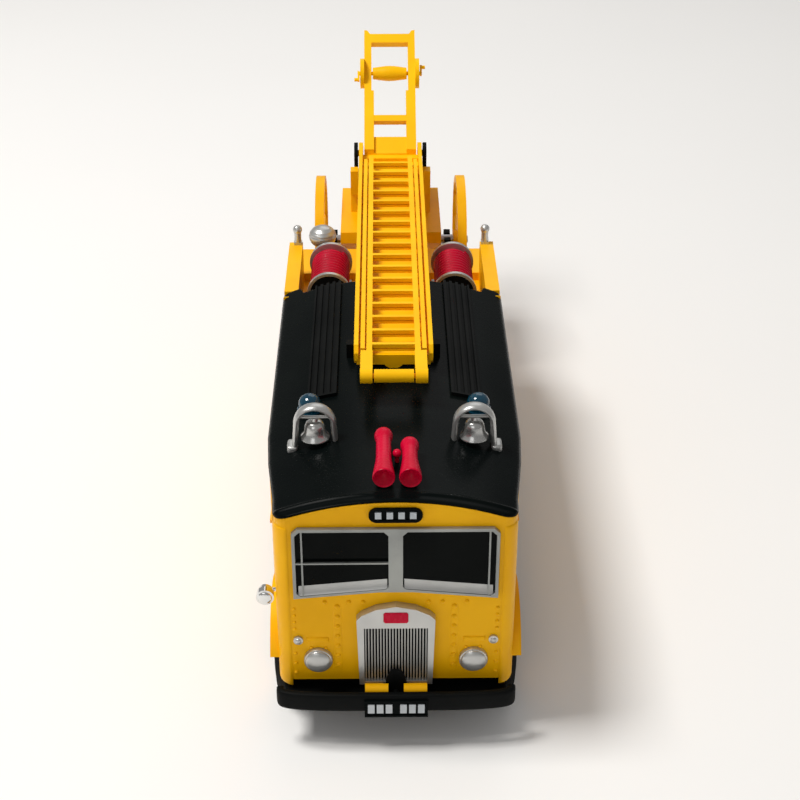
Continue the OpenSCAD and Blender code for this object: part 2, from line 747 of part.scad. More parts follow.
module carriage_frame() {
  color([0.83, 0.60, 0.02]) difference() {
    union() {
      both_sides() {
        translate([7.4, 0, 0]) rotate([90, 0, 90]) linear_extrude(4.8)
          polygon([[48, 34.6], [74, 34.6], [73, 40], [46, 40], [45.4, 37.4]]);
        translate([5.2, 0, 0]) rotate([90, 0, 90]) linear_extrude(4.6)
          polygon([[58, 39.8], [73, 39.8], [71.6, 46], [59.4, 46]]);
        box(8, 12.2, 55.6, 62.4, 28.4, 35);
        box(7.95, 9.8, 57.2, 60.1, 45, 51.2);
      }
      box(-8, 8, 47.6, 50, 35, 40);
      box(-8, 8, 69.6, 72, 35, 44);
    }
    along_x(2.4, -30, 30, cw_y, cw_z);
    both_sides() {
      box(11.7, 13, 49.6, 57.4, 35.6, 39.2);
      box(11.7, 13, 60.2, 71.6, 35.6, 39.2);
      box(9.3, 11, 61, 70.4, 41, 45);
    }
  }
}

module trunnion_brackets() {
  color([0.04, 0.04, 0.04]) both_sides() difference() {
    union() {
      along_x(5.2, 8, 8.9, trun_y, trun_z);
      translate([8, 0, 0]) rotate([90, 0, 90]) linear_extrude(0.9)
        polygon([[60.4, 46], [67, 46], [65.4, 53.5], [61.2, 53.5]]);
    }
    along_x(1.7, 7, 11, trun_y, trun_z);
  }
}

module carriage_axle() {
  color([0.6, 0.6, 0.62]) {
    along_x(2.4, -15.5, 15.5, cw_y, cw_z);
    both_sides() along_x(1.8, 15.5, 19.4, cw_y, cw_z);
  }
}

module carriage_wheel() {
  translate([cw_x, cw_y, cw_z]) rotate([0, 90, 0]) {
    difference() {
      cylinder(r = cw_r, h = cw_w, $fn = 96);
      translate([0, 0, -1]) cylinder(r = cw_r - 1.7, h = cw_w + 2, $fn = 96);
    }
    difference() {
      union() {
        translate([0, 0, -0.5]) cylinder(d = 4.6, h = cw_w + 0.9);
        for (i = [0:spokes - 1]) rotate([0, 0, i * 360 / spokes])
          translate([-0.45, 1.6, cw_w / 2 - 0.55]) cube([0.9, cw_r - 3, 1.1]);
      }
      translate([0, 0, -3]) cylinder(d = 1.9, h = 9);
    }
  }
}

module carriage_wheel_left() {
  color([0.85, 0.62, 0.02]) carriage_wheel();
}

module carriage_wheel_right() {
  color([0.85, 0.62, 0.02]) mirror([1, 0, 0]) carriage_wheel();
}

module ladder_main() {
  color([0.95, 0.75, 0.03]) {
    difference() {
      union() {
        both_sides() {
          translate([main_hw - 0.85, 0, 0]) rotate([90, 0, 90]) linear_extrude(0.85)
            polygon([[-40.2, string_top - 1.4], [-39.2, string_top], [62, string_top],
              [62, string_bot], [-39.2, string_bot], [-40.2, string_bot + 1]]);
          along_x(5.2, main_hw - 0.9, 7.7, trun_y, trun_z);
          along_x(1.6, 7.6, 8.9, trun_y, trun_z);
        }
        for (i = [0:rungs])
          box(-main_hw + 0.5, main_hw - 0.5, rung_y0 + pitch * i - 0.5, rung_y0 + pitch * i + 0.5,
            string_bot + 0.1, string_bot + 1.0);
        box(-main_hw + 0.5, main_hw - 0.5, -37.4, 60, string_bot, string_bot + 0.5);
        box(-main_hw + 0.5, main_hw - 0.5, 59.6, 62, string_bot, 53.6);
        box(-main_hw + 0.5, main_hw - 0.5, -39.9, -39.1, string_bot, 54.3);
        along_y(4.4, -39.9, -39.1, 0, 53.5);
      }
      box(-4, 4, -45, -35, 54.3, 60);
      box(-4, 4, -45, -35, 45, 51.4);
    }
  }
}

module ladder_middle() {
  color([0.97, 0.78, 0.04]) {
    both_sides() box(5.5, 6.35, -40.6, 53, 54.7, string_top);
    for (i = [0:16])
      box(-5.8, 5.8, rung_y0 + pitch * i - 0.45, rung_y0 + pitch * i + 0.45, 54.7, 55.2);
  }
}

module ladder_top() {
  color([0.98, 0.80, 0.05]) {
    both_sides() difference() {
      union() {
        box(4.1, 5.2, -48, 55, 55.4, string_top);
        along_x(2.8, 4.0, 6.3, -51, 56.1);
        box(4.0, 6.3, -51, -41.4, 54.75, string_top);
      }
      along_x(1.1, 3, 8, -51, 56.1);
    }
    for (i = [0:16])
      box(-4.3, 4.3, rung_y0 + pitch * i - 0.45, rung_y0 + pitch * i + 0.45, 55.4, string_top);
  }
}

module head_roller() {
  color([0.95, 0.75, 0.03]) {
    along_x(2.5, -3.7, 3.7, -51, 56.1);
    along_x(1.0, -6.3, 6.3, -51, 56.1);
  }
}

module on_tail() {
  translate([0, 62.6, 54.2]) rotate([tail_slope, 0, 0]) children();
}

module tail_frame() {
  color([0.95, 0.75, 0.03]) difference() {
    on_tail() {
      both_sides() {
        box(4, 6.4, -1.6, 17, -1, 1);
        box(4.6, 6.4, 16.8, tail_len, -1, 1);
        translate([0, 0, -0.9]) linear_extrude(1.8)
          polygon([[4.6, tail_len - 0.2], [6.4, tail_len - 0.2], [6.4, tail_len + 1.2],
            [5.6, tail_len + 1.1], [5.1, tail_len + 0.3]]);
      }
      box(-5, 5, -1, 4.1, -0.9, 0.1);
      box(-5, 5, 8.2, 9.9, -0.9, 0.9);
      box(-5, 5, tail_len - 2.6, tail_len, -1, 1);
    }
    box(-10, 10, 50, 62, 50, 60);
    on_tail() along_x(1.1, -10, 10, winch_s, 0);
  }
}

module gear_cases() {
  color([0.95, 0.75, 0.03]) on_tail() both_sides() difference() {
    along_x(7.4, 6.4, 7.4, winch_s, 0);
    along_x(1.1, 5, 10, winch_s, 0);
  }
}

module winch_drum() {
  color([0.90, 0.68, 0.03]) on_tail() {
    translate([-4.25, winch_s, 0]) rotate([0, 90, 0]) rotate_extrude()
      polygon([[0, 0], [1.45, 0], [1.65, 1.6], [1.85, 3.2], [1.9, 4.25], [1.85, 5.3],
        [1.65, 6.9], [1.45, 8.5], [0, 8.5]]);
    along_x(1.0, -8.1, 8.1, winch_s, 0);
    box(7.6, 8.1, winch_s - 0.5, winch_s + 2.2, -0.45, 0.45);
    box(-8.1, -7.6, winch_s - 2.2, winch_s + 0.5, -0.45, 0.45);
    along_x(0.9, 8, 8.9, winch_s + 1.8, 0);
    along_x(0.9, -8.9, -8, winch_s - 1.8, 0);
  }
}

chassis_base();
chassis_screws();
body_shell();
cab_roof();
walkways();
cab_interior();
steering_wheel();
windscreen_frame();
windscreen_glass();
side_windows();
sign_box();
sign_inlay();
front_bumper();
number_plate();
plate_tiles();
dumb_irons();
starting_handle();
radiator_shell();
radiator_grille();
radiator_badge();
headlamps();
sidelamps();
front_trims();
spot_lamp();
pump_inlet();
beacon_bases();
beacon_domes();
bell_brackets();
bell_left();
bell_right();
horns();
horn_compressor();
ladder_rest();
reel_cradles();
reel_left();
reel_right();
hose_left();
hose_right();
searchlight();
rail_handles();
escape_brackets();
rear_lamps();
front_axle();
front_wheels();
front_tyres();
rear_axle();
rear_wheels();
rear_tyres();
carriage_frame();
trunnion_brackets();
carriage_axle();
carriage_wheel_left();
carriage_wheel_right();
ladder_main();
ladder_middle();
ladder_top();
head_roller();
tail_frame();
gear_cases();
winch_drum();
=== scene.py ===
# %% [markdown]
# # Wheeled-escape fire engine, a 1:50 scale model
# The frame comes first. It is the exact assembly from the CAD source, with one mesh for each
# sub-part. Everything made below is hung on it, in metres, and the empty of a moving body is
# made when the first piece is hung on that body.

# %% Load the frame
import json
import math
import bmesh
import bpy
import numpy as np
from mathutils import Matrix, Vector


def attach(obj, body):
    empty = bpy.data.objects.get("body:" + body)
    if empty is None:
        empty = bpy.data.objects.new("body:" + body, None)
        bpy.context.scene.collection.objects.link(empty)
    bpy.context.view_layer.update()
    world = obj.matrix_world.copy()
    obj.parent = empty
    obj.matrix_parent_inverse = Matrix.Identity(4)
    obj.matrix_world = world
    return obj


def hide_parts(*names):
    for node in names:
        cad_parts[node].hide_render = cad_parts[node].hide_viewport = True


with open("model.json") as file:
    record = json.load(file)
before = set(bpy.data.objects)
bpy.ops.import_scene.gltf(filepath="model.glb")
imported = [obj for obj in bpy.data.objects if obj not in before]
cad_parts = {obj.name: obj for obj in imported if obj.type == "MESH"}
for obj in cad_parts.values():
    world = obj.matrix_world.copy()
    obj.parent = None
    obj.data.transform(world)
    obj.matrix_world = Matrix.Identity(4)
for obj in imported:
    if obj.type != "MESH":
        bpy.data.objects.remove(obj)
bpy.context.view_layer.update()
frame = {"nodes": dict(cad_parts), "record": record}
nodes = frame["nodes"]

# %% Stations shared by several pieces, in millimetres
MM = 0.001
FACE_Y = -83.15                           # flat front panel of the cab
CROWN_Z, CAMBER = 50.5, 58.0              # top of the roof and radius of its camber
BELL_X, BELL_Y, BELL_Z = 14.4, -62, 54.0  # pivot of each bell
HORN_Y, HORN_Z = -79.7, 52.5              # mouth and axis of both horns
REEL_X, REEL_Y, REEL_Z = 13.7, 12, 45     # middle of each hose reel

# %% [markdown]
# ## Paint and metal as node trees
# A die-cast model shows thick gloss enamel with faint orange peel. A flat colour would look like
# a drawing, and a picture would not fit another size. So each finish is a small node tree: a
# broad noise in Object coordinates varies the colour, and a fine one varies the gloss and gives
# the bump.

# %% A helper that builds one finish
def finish(name, low, high, rough=(0.25, 0.35), metal=0.0, coat=0.0, grain=900.0, bump=0.1,
           mottle=90.0, **sockets):
    """Principled material: colour = mix(low, high, noise), roughness = a + (b - a) * noise."""
    m = bpy.data.materials.new(name)
    m.use_nodes = True
    t = m.node_tree
    b = t.nodes["Principled BSDF"]
    b.inputs["Metallic"].default_value = metal
    b.inputs["Coat Weight"].default_value = coat
    b.inputs["Coat Roughness"].default_value = 0.08
    for key, value in sockets.items():
        b.inputs[key.replace("_", " ")].default_value = value
    co = t.nodes.new("ShaderNodeTexCoord")
    n1 = t.nodes.new("ShaderNodeTexNoise")
    n1.inputs["Scale"].default_value = mottle
    n1.inputs["Detail"].default_value = 5.0
    t.links.new(co.outputs["Object"], n1.inputs["Vector"])
    ramp = t.nodes.new("ShaderNodeValToRGB")
    ramp.color_ramp.elements[0].position = 0.35
    ramp.color_ramp.elements[0].color = (*low, 1)
    ramp.color_ramp.elements[1].position = 0.65
    ramp.color_ramp.elements[1].color = (*high, 1)
    t.links.new(n1.outputs["Fac"], ramp.inputs["Fac"])
    t.links.new(ramp.outputs["Color"], b.inputs["Base Color"])
    n2 = t.nodes.new("ShaderNodeTexNoise")
    n2.inputs["Scale"].default_value = grain
    n2.inputs["Detail"].default_value = 3.0
    t.links.new(co.outputs["Object"], n2.inputs["Vector"])
    mr = t.nodes.new("ShaderNodeMapRange")
    mr.inputs["To Min"].default_value = rough[0]
    mr.inputs["To Max"].default_value = rough[1]
    t.links.new(n2.outputs["Fac"], mr.inputs["Value"])
    t.links.new(mr.outputs["Result"], b.inputs["Roughness"])
    bp = t.nodes.new("ShaderNodeBump")
    bp.inputs["Strength"].default_value = bump
    bp.inputs["Distance"].default_value = 0.08 * MM
    t.links.new(n2.outputs["Fac"], bp.inputs["Height"])
    t.links.new(bp.outputs["Normal"], b.inputs["Normal"])
    return m

# %% The finishes of this model
MATS = {
    "yellow_paint": finish("yellow enamel", (0.90, 0.44, 0.0), (0.97, 0.50, 0.001),
                           rough=(0.30, 0.44), grain=1400, bump=0.14,
                           Specular_IOR_Level=0.14),
    "wheel_yellow": finish("yellow wheel enamel", (0.86, 0.42, 0.0), (0.94, 0.48, 0.001),
                           rough=(0.34, 0.48), grain=1600, bump=0.12, Specular_IOR_Level=0.14),
    "ladder_yellow": finish("moulded yellow plastic", (0.97, 0.50, 0.0), (1.0, 0.56, 0.002),
                            rough=(0.38, 0.5), grain=2200, bump=0.08, Specular_IOR_Level=0.12),
    "black_gloss": finish("black roof enamel", (0.0018, 0.0030, 0.0030), (0.003, 0.0045, 0.0042),
                          rough=(0.22, 0.34), grain=1500, bump=0.10, Specular_IOR_Level=0.03),
    "black_satin": finish("black satin moulding", (0.002, 0.0026, 0.0026), (0.005, 0.0056, 0.0054),
                          rough=(0.42, 0.58), grain=2400, bump=0.2, Specular_IOR_Level=0.06),
    "silver_paint": finish("silver enamel", (0.46, 0.46, 0.45), (0.58, 0.58, 0.56),
                           rough=(0.26, 0.40), metal=0.75, grain=3000, bump=0.16),
    "chrome": finish("bright plating", (0.74, 0.74, 0.73), (0.84, 0.84, 0.83),
                     rough=(0.08, 0.16), metal=1.0, grain=700, bump=0.04),
    "bell_metal": finish("silver bell enamel", (0.50, 0.50, 0.49), (0.64, 0.63, 0.61),
                         rough=(0.18, 0.30), metal=0.85, grain=1800, bump=0.12),
    "steel": finish("steel rod", (0.40, 0.40, 0.41), (0.52, 0.52, 0.54),
                    rough=(0.25, 0.4), metal=1.0, grain=2600, bump=0.1),
    "clear": finish("tinted window", (0.0010, 0.0018, 0.0016), (0.003, 0.004, 0.0036),
                    rough=(0.08, 0.16), grain=400, bump=0.02, Specular_IOR_Level=0.05),
    "white_print": finish("pale enamel tile", (0.46, 0.50, 0.53), (0.58, 0.61, 0.63),
                          rough=(0.35, 0.5), grain=2600, bump=0.08),
    "red_gloss": finish("crimson moulding", (0.50, 0.001, 0.022), (0.60, 0.002, 0.034),
                        rough=(0.22, 0.32), grain=1500, bump=0.08, Specular_IOR_Level=0.14),
    "hose_red": finish("red hose rubber", (0.36, 0.0, 0.014), (0.48, 0.001, 0.026),
                       rough=(0.34, 0.48), grain=3200, bump=0.22, Specular_IOR_Level=0.12),
    "blue_clear": finish("blue lamp plastic", (0.0, 0.06, 0.12), (0.002, 0.12, 0.20),
                         rough=(0.05, 0.10), coat=0.3, grain=500, bump=0.03,
                         Transmission_Weight=0.55),
    "red_clear": finish("red lamp plastic", (0.40, 0.01, 0.01), (0.5, 0.02, 0.02),
                        rough=(0.08, 0.14), coat=0.5, grain=500, bump=0.03),
    "tyre": finish("tyre rubber", (0.005, 0.005, 0.005), (0.012, 0.011, 0.010),
                   rough=(0.65, 0.85), grain=2600, bump=0.3, Specular_IOR_Level=0.1),
}

# %% Every CAD node gets its finish, and a fine rounded edge that catches the light
slot_of = {s["node"]: s["material_slot"] for s in frame["record"]["subparts"]}
EDGE = {"body_shell": 0.22, "cab_roof": 0.3, "front_bumper": 0.35, "ladder_main": 0.12,
        "ladder_middle": 0.1, "ladder_top": 0.12, "tail_frame": 0.15, "carriage_frame": 0.2,
        "radiator_shell": 0.2, "windscreen_frame": 0.16, "front_trims": 0.04,
        "radiator_grille": 0.04, "walkways": 0.05}
GREY = finish("grey casting enamel", (0.27, 0.28, 0.27), (0.36, 0.37, 0.35), rough=(0.34, 0.5),
              metal=0.6, grain=2600, bump=0.18)
SPECIAL = {"windscreen_frame": GREY, "pump_inlet": GREY, "reel_cradles": GREY}
for name, obj in nodes.items():
    obj.data.materials.clear()
    obj.data.materials.append(SPECIAL.get(name, MATS[slot_of[name]]))
    bev = obj.modifiers.new("soft edge", "BEVEL")
    bev.width = EDGE.get(name, 0.08) * MM
    bev.segments = 2
    bev.limit_method = "ANGLE"
    bev.angle_limit = math.radians(38)
print("finished", len(nodes), "nodes")

# %% [markdown]
# ## Two ways to make a surface
# Nearly every fitting on this model was turned on a lathe or bent from rod. A turned part is a
# profile spun round an axis, and a bent part is a ring carried along a path. Both are grids of
# points, so one function can join any grid into a mesh. Box modelling would need many cuts to
# get the same smooth lip on a bell.

# %% Grids to meshes
def grid_faces(n, m, around, caps, base=0):
    """Joins point (i, j) to its neighbours; around closes j, caps closes the end rings."""
    i = np.arange(n - 1)[:, None]
    j = np.arange(m if around else m - 1)[None]
    j2 = (j + 1) % m
    quads = np.stack([i * m + j, i * m + j2, (i + 1) * m + j2, (i + 1) * m + j], -1)
    faces = (quads.reshape(-1, 4) + base).tolist()
    if caps:
        faces.append([base + k for k in range(m)][::-1])
        faces.append([base + (n - 1) * m + k for k in range(m)])
    return faces

def joined(parts):
    """One mesh from several (points, around, caps) grids, for a piece cast in one."""
    verts, faces = [], []
    for pts, around, caps in parts:
        faces += grid_faces(*pts.shape[:2], around, caps, len(verts))
        verts += pts.reshape(-1, 3).tolist()
    me = bpy.data.meshes.new("cast")
    me.from_pydata(verts, [], faces)
    return me

def add_piece(name, me, mat, body, stands_for=(), weld=True):
    """Welds coincident points, turns faces outwards, smooths, and rides the piece on its body."""
    bm = bmesh.new()
    bm.from_mesh(me)
    if weld:
        bmesh.ops.remove_doubles(bm, verts=bm.verts, dist=1e-7)
    bmesh.ops.dissolve_degenerate(bm, dist=1e-8, edges=bm.edges)
    bmesh.ops.recalc_face_normals(bm, faces=bm.faces)
    bm.to_mesh(me)
    bm.free()
    me.shade_smooth()
    me.set_sharp_from_angle(angle=math.radians(42))
    o = bpy.data.objects.new(name, me)
    me.materials.append(MATS[mat])
    bpy.context.scene.collection.objects.link(o)
    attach(o, body)
    if stands_for:
        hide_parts(*stands_for)
    return o

def grid_mesh(name, pts, mat, body, around=False, caps=False, stands_for=()):
    """A piece made of a single grid of points."""
    return add_piece(name, joined([(pts, around, caps)]), mat, body, stands_for)

# %% Lathe and sweep
def lathe(profile, at, axis, seg=64):
    """Point(i, j) = at + h_i axis + r_i (cos a_j side + sin a_j up), with profile (r, h) in mm."""
    pr = np.asarray(profile, float) * MM
    ax = np.array(axis, float) / np.linalg.norm(axis)
    side = np.cross(ax, [0, 0, 1] if abs(ax[2]) < 0.9 else [1, 0, 0])
    side /= np.linalg.norm(side)
    up = np.cross(ax, side)
    a = 2 * np.pi * np.arange(seg) / seg
    ring = np.cos(a)[:, None] * side + np.sin(a)[:, None] * up
    return np.asarray(at) * MM + pr[:, 1, None, None] * ax + pr[:, 0, None, None] * ring[None]

def sweep(path, radius, seg=12, flat=1.0):
    """Ring of the given radius carried along path; flat squashes it across the path's plane."""
    p = np.asarray(path, float) * MM
    t = np.gradient(p, axis=0)
    t /= np.linalg.norm(t, axis=1, keepdims=True)
    ref = np.array([0.0, 1.0, 0.0])
    if np.abs(t @ ref).max() > 0.95:
        ref = np.array([0.31, 0.2, 0.93])
    s = np.cross(t, ref)
    s /= np.linalg.norm(s, axis=1, keepdims=True)
    u = np.cross(s, t)
    a = 2 * np.pi * np.arange(seg) / seg
    r = np.broadcast_to(np.asarray(radius, float) * MM, (len(p),))[:, None, None]
    return p[:, None] + r * (np.cos(a)[None, :, None] * s[:, None]
                             + flat * np.sin(a)[None, :, None] * u[:, None])

# %% [markdown]
# ## The roof
# The roof is a single pressing: cambered across, rolled over at the edges, with a raised bead
# that follows the front brow. A flat slab bent by hand would show kinks in its gloss, so the
# skin is a function of two numbers, and Solidify gives it its thickness.

# %% Roof skin
def roof_half_width(y):
    """Half width at y: straight runs between stations, 3 mm front and 0.8 mm rear corners."""
    w = np.interp(y, [-80.3, -76.5, -70, -64, -55, 1], [21.3, 21.5, 22.3, 23.0, 23.6, 23.6])
    c = np.clip(y + 80.3, -3, 0)
    w = w - 0.8 + np.sqrt(np.maximum(0.64 - np.clip(y - 2.2, 0, 0.8) ** 2, 0))
    return np.where(y < -80.3, 18.3 + np.sqrt(np.maximum(9 - c * c, 0)), w)

def roof_rear(x):
    """Rear edge at x: 0.48 between the reels, easing out to 2.98 over the side rails."""
    t = np.clip((np.abs(x) - 19.2) / 0.7, 0, 1)
    return 0.48 + 2.5 * t * t * (3 - 2 * t)

def roof_top(x, y):
    """Camber of radius 58, less a 1.1 mm rolled edge, plus a bead 0.28 high behind the brow."""
    z = CROWN_Z - (CAMBER - np.sqrt(CAMBER ** 2 - x * x))
    d = np.minimum(roof_half_width(y) - np.abs(x), np.minimum(y + 83.3, roof_rear(x) - y) + 0.3)
    e = np.clip(1.1 - d, 0, 1.1)
    roll = 1.1 - np.sqrt(np.maximum(1.21 - e * e, 0))
    bead = 0.28 * np.exp(-((y + 81.2) / 0.45) ** 2)
    return np.minimum(z - 0.45 * roll + bead, CROWN_Z) - 0.02

# %% Roof grid
# stations crowd together at the front, where the corners and the bead are
ys = np.concatenate([-80.3 - 3 * np.cos(np.linspace(0, np.pi / 2, 26)),
                     np.linspace(-80.0, -1.0, 120), np.linspace(-0.8, 0.48, 6)])
ss = np.sin(np.linspace(-np.pi / 2, np.pi / 2, 81)) * 0.35 + np.linspace(-1, 1, 81) * 0.65
Y, S = np.meshgrid(ys, ss, indexing="ij")
X = S * roof_half_width(Y)
Y = Y + (roof_rear(X) - 0.48) * np.clip((Y + 7) / 7.48, 0, 1) ** 1.5
X = S * roof_half_width(Y)
roof = grid_mesh("roof_skin", np.stack([X, Y, roof_top(X, Y)], -1) * MM, "black_gloss",
                 "vehicle", stands_for=("cab_roof",))
thick = roof.modifiers.new("sheet", "SOLIDIFY")
thick.thickness = 0.62 * MM
thick.offset = -1
if roof.data.polygons[len(roof.data.polygons) // 2].normal.z < 0:
    roof.data.flip_normals()
print("roof skin points:", X.size)

# %% [markdown]
# ## Bells, horns and lamps
# The two bells hang in cast arches, and each has a thick flared lip. The horns are open
# trumpets with a collar at the back. The lamps are shallow domes. All are lathe work.

# %% Bells and their arches
BELL = [(0, -0.1), (0.5, -0.15), (0.62, -0.7), (1.1, -0.85), (1.55, -1.15), (1.78, -1.7),
        (1.88, -2.3), (2.0, -2.9), (2.2, -3.4), (2.5, -3.8), (2.66, -4.0), (2.68, -4.15),
        (2.6, -4.27), (2.4, -4.2), (2.1, -3.7), (1.8, -3.1), (1.6, -2.3), (1.3, -1.6),
        (0.8, -1.35), (0, -1.3)]
for side, tag in ((1, "left"), (-1, "right")):
    grid_mesh("bell_turned_" + tag, lathe(BELL, (side * BELL_X, BELL_Y, BELL_Z), (0, 0, 1), 72),
              "bell_metal", "bell_%s_set" % tag, around=True, stands_for=("bell_" + tag,))

def arch_path(cx):
    """Half round of radius 3.35 about z = 52.8 on legs that spread to 3.75 at the roof."""
    a = np.linspace(0, np.pi, 41)[1:-1]
    top = np.stack([3.35 * np.cos(a), 52.8 + 3.35 * np.sin(a)], -1)
    leg = np.linspace(0, 1, 12)[:, None]
    down = np.hstack([3.35 + 0.4 * leg, 52.8 - 5.0 * leg])
    xz = np.vstack([down[::-1], top, down * [-1, 1]])
    return np.stack([xz[:, 0] + cx, np.full(len(xz), float(BELL_Y)), xz[:, 1]], -1)

def pad(c, r, n=20, m=28, e=0.45):
    """Rounded block: c + r * (cos^e v cos^e u, cos^e v sin^e u, sin^e v), signs kept."""
    def pw(t):
        return np.sign(t) * np.abs(t) ** e
    v = np.linspace(-np.pi / 2, np.pi / 2, n)[:, None]
    u = (2 * np.pi * np.arange(m) / m)[None]
    q = np.stack([pw(np.cos(v)) * pw(np.cos(u)), pw(np.cos(v)) * pw(np.sin(u)),
                  pw(np.sin(v)) * np.ones_like(u)], -1)
    return ((np.array(c) + np.array(r) * q) * MM, True, False)

arch_parts = []
for cx in (-BELL_X, BELL_X):
    arch_parts.append((sweep(arch_path(cx), 0.54, 20, 2.3), True, True))
    for s in (-1, 1):
        inner = (s * cx) < 0
        top = 49.5 if inner else 48.5
        foot_y = BELL_Y - 0.3 if inner else BELL_Y + 0.2
        arch_parts.append(pad((cx + s * 4.15, foot_y, top - 0.9), (1.0, 1.65, 0.85)))
    pin = [(cx + k, BELL_Y, BELL_Z) for k in np.linspace(-2.9, 2.9, 9)]
    arch_parts.append((sweep(pin, 0.33, 12), True, True))
add_piece("bell_arches", joined(arch_parts), "silver_paint", "vehicle", ("bell_brackets",))

# %% Horns
def horn_profile(length):
    """Flared mouth, slim tube and rear collar, with the inside of the mouth as a real hollow."""
    f = np.linspace(0, 1, 16)
    outer = np.stack([1.36 + 0.61 * (1 - f ** 1.3) ** 1.5, 0.2 + 6.4 * f], -1)
    inner = np.stack([0.3 + 1.42 * f ** 0.8, 1.5 - 1.4 * f], -1)
    back = [(1.33, length - 2.8), (1.42, length - 2.1), (1.62, length - 1.5),
            (1.65, length - 0.7), (1.5, length - 0.2), (1.1, length), (0, length)]
    return np.vstack([[(0, 1.6)], inner, [(1.86, 0.0)], outer, back])

HORNS = ((-2.0, 14.4), (2.6, 11.2))  # distance from the centre line, and length
FOOT = [(0, -2.3), (0.75, -2.3), (0.5, -1.6), (0.45, -0.9), (0, -0.9)]
horn_parts = [(lathe(horn_profile(n), (x, HORN_Y, HORN_Z), (0, 1, 0), 48), True, False)
              for x, n in HORNS]
for x, n in HORNS:
    for y in (-77.4, HORN_Y + n - 1.6):
        horn_parts.append((lathe(FOOT, (x, y, HORN_Z), (0, 0, 1), 20), True, False))
add_piece("horns_turned", joined(horn_parts), "red_gloss", "vehicle", ("horns",))

# %% Beacon domes, headlamps and searchlight
def dome(r, h, skirt, n=12):
    """Half ellipsoid of radius r and height h on a short straight skirt."""
    a = np.linspace(0, np.pi / 2, n)
    return np.vstack([[(0, 0), (r, 0)], np.stack([r * np.cos(a), skirt + h * np.sin(a)], -1)])

add_piece("beacon_glass", joined([(lathe(dome(2.15, 1.95, 1.1), (s * 15.8, -50.5, 48.8),
                                         (0, 0, 1), 48), True, False) for s in (-1, 1)]),
          "blue_clear", "vehicle", ("beacon_domes",))
LAMP = np.vstack([[(0, 0), (2.6, 0), (2.6, 0.5), (2.52, 0.74), (2.36, 0.82)],
                  [(2.3 * math.cos(a), 0.84 + 0.84 * math.sin(a))
                   for a in np.linspace(0, math.pi / 2, 12)]])
add_piece("headlamps_domed", joined([(lathe(LAMP, (s * 14, FACE_Y, 15.7), (0, -1, 0), 48),
                                      True, False) for s in (-1, 1)]),
          "silver_paint", "vehicle", ("headlamps",))
# the searchlight's cover is faintly ridged
SEARCH = [(0, 0), (2.3, 0), (2.75, 0.5), (3.05, 1.4), (3.12, 2.0)] + [
    (3.1 * math.cos(a) * (1 - 0.022 * math.sin(9 * a) ** 2), 2.0 + 2.25 * math.sin(a))
    for a in np.linspace(0.04, math.pi / 2, 60)]
post = [(0, -11), (1.7, -11), (1.7, -10.1), (0.85, -9.9), (0.8, -0.1), (0, -0.1)]
add_piece("searchlight_turned",
          joined([(lathe(p, (-15.7, 25.4, 47), (0, 0, 1), 48), True, False)
                  for p in (SEARCH, post)]), "silver_paint", "vehicle", ("searchlight",))
print("bells, horns and lamps made")

# %% [markdown]
# ## Hose reels
# The hose is one rubber tube wound side by side on its drum. A ribbed cylinder would show
# closed rings, but the real winding climbs along the drum, so the path is a true helix.

# %% Wound hose
def winding(cx, turns=10, start=5.65, stop=18.35, r=3.58):
    """Helix about the reel's axis: angle 2 pi turns t, and along Y from start to stop."""
    t = np.linspace(0, 1, turns * 40 + 1)
    a = 2 * np.pi * turns * t + 0.8
    return np.stack([cx + r * np.cos(a), start + (stop - start) * t,
                     REEL_Z + r * np.sin(a)], -1)

def helix_tube(path, radius, cx, seg=12):
    """Ring about the helix, squared to the drum's own radius line and the Y direction."""
    p = path * MM
    out = p - np.stack([np.full(len(p), cx * MM), p[:, 1], np.full(len(p), REEL_Z * MM)], -1)
    out /= np.linalg.norm(out, axis=1, keepdims=True)
    a = 2 * np.pi * np.arange(seg) / seg
    return p[:, None] + radius * MM * (np.cos(a)[None, :, None] * out[:, None]
                                       + np.sin(a)[None, :, None] * np.array([0, 1.0, 0]))

for side, tag in ((1, "left"), (-1, "right")):
    cx = side * REEL_X
    core = lathe([(1.7, -7.1), (3.4, -7.1), (3.4, 7.1), (1.7, 7.1)], (cx, REEL_Y, REEL_Z),
                 (0, 1, 0), 32)
    add_piece("wound_hose_" + tag, joined([(helix_tube(winding(cx), 0.71, cx), True, True),
                                           (core, True, False)]),
              "hose_red", "reel_%s_set" % tag, ("hose_" + tag,))
    face = lathe([(1.3, 0), (4.12, 0), (4.12, 0.25), (2.7, 0.31), (1.3, 0.25)],
                 (cx, 4.04, REEL_Z), (0, 1, 0), 64)
    grid_mesh("reel_face_" + tag, np.concatenate([face, face[:1]]), "black_satin",
              "reel_%s_set" % tag, around=True)
print("hose wound on both reels")

# %% [markdown]
# ## Riveted front panel
# Large domed rivets run beside the radiator and down both corners. They are separate heads on
# the real panel, so each is a small half ball, and one mesh holds them all.

# %% Rivet heads and raised strips
def heads(centres, r, h, seg=14):
    """Half balls that face the front: one small lathe for each centre."""
    a = np.linspace(0, np.pi / 2, 6)
    prof = np.vstack([[(0, 0)], np.stack([r * np.cos(a), h * np.sin(a)], -1)])
    return [(lathe(prof, (x, FACE_Y, z), (0, -1, 0), seg), True, False) for x, z in centres]

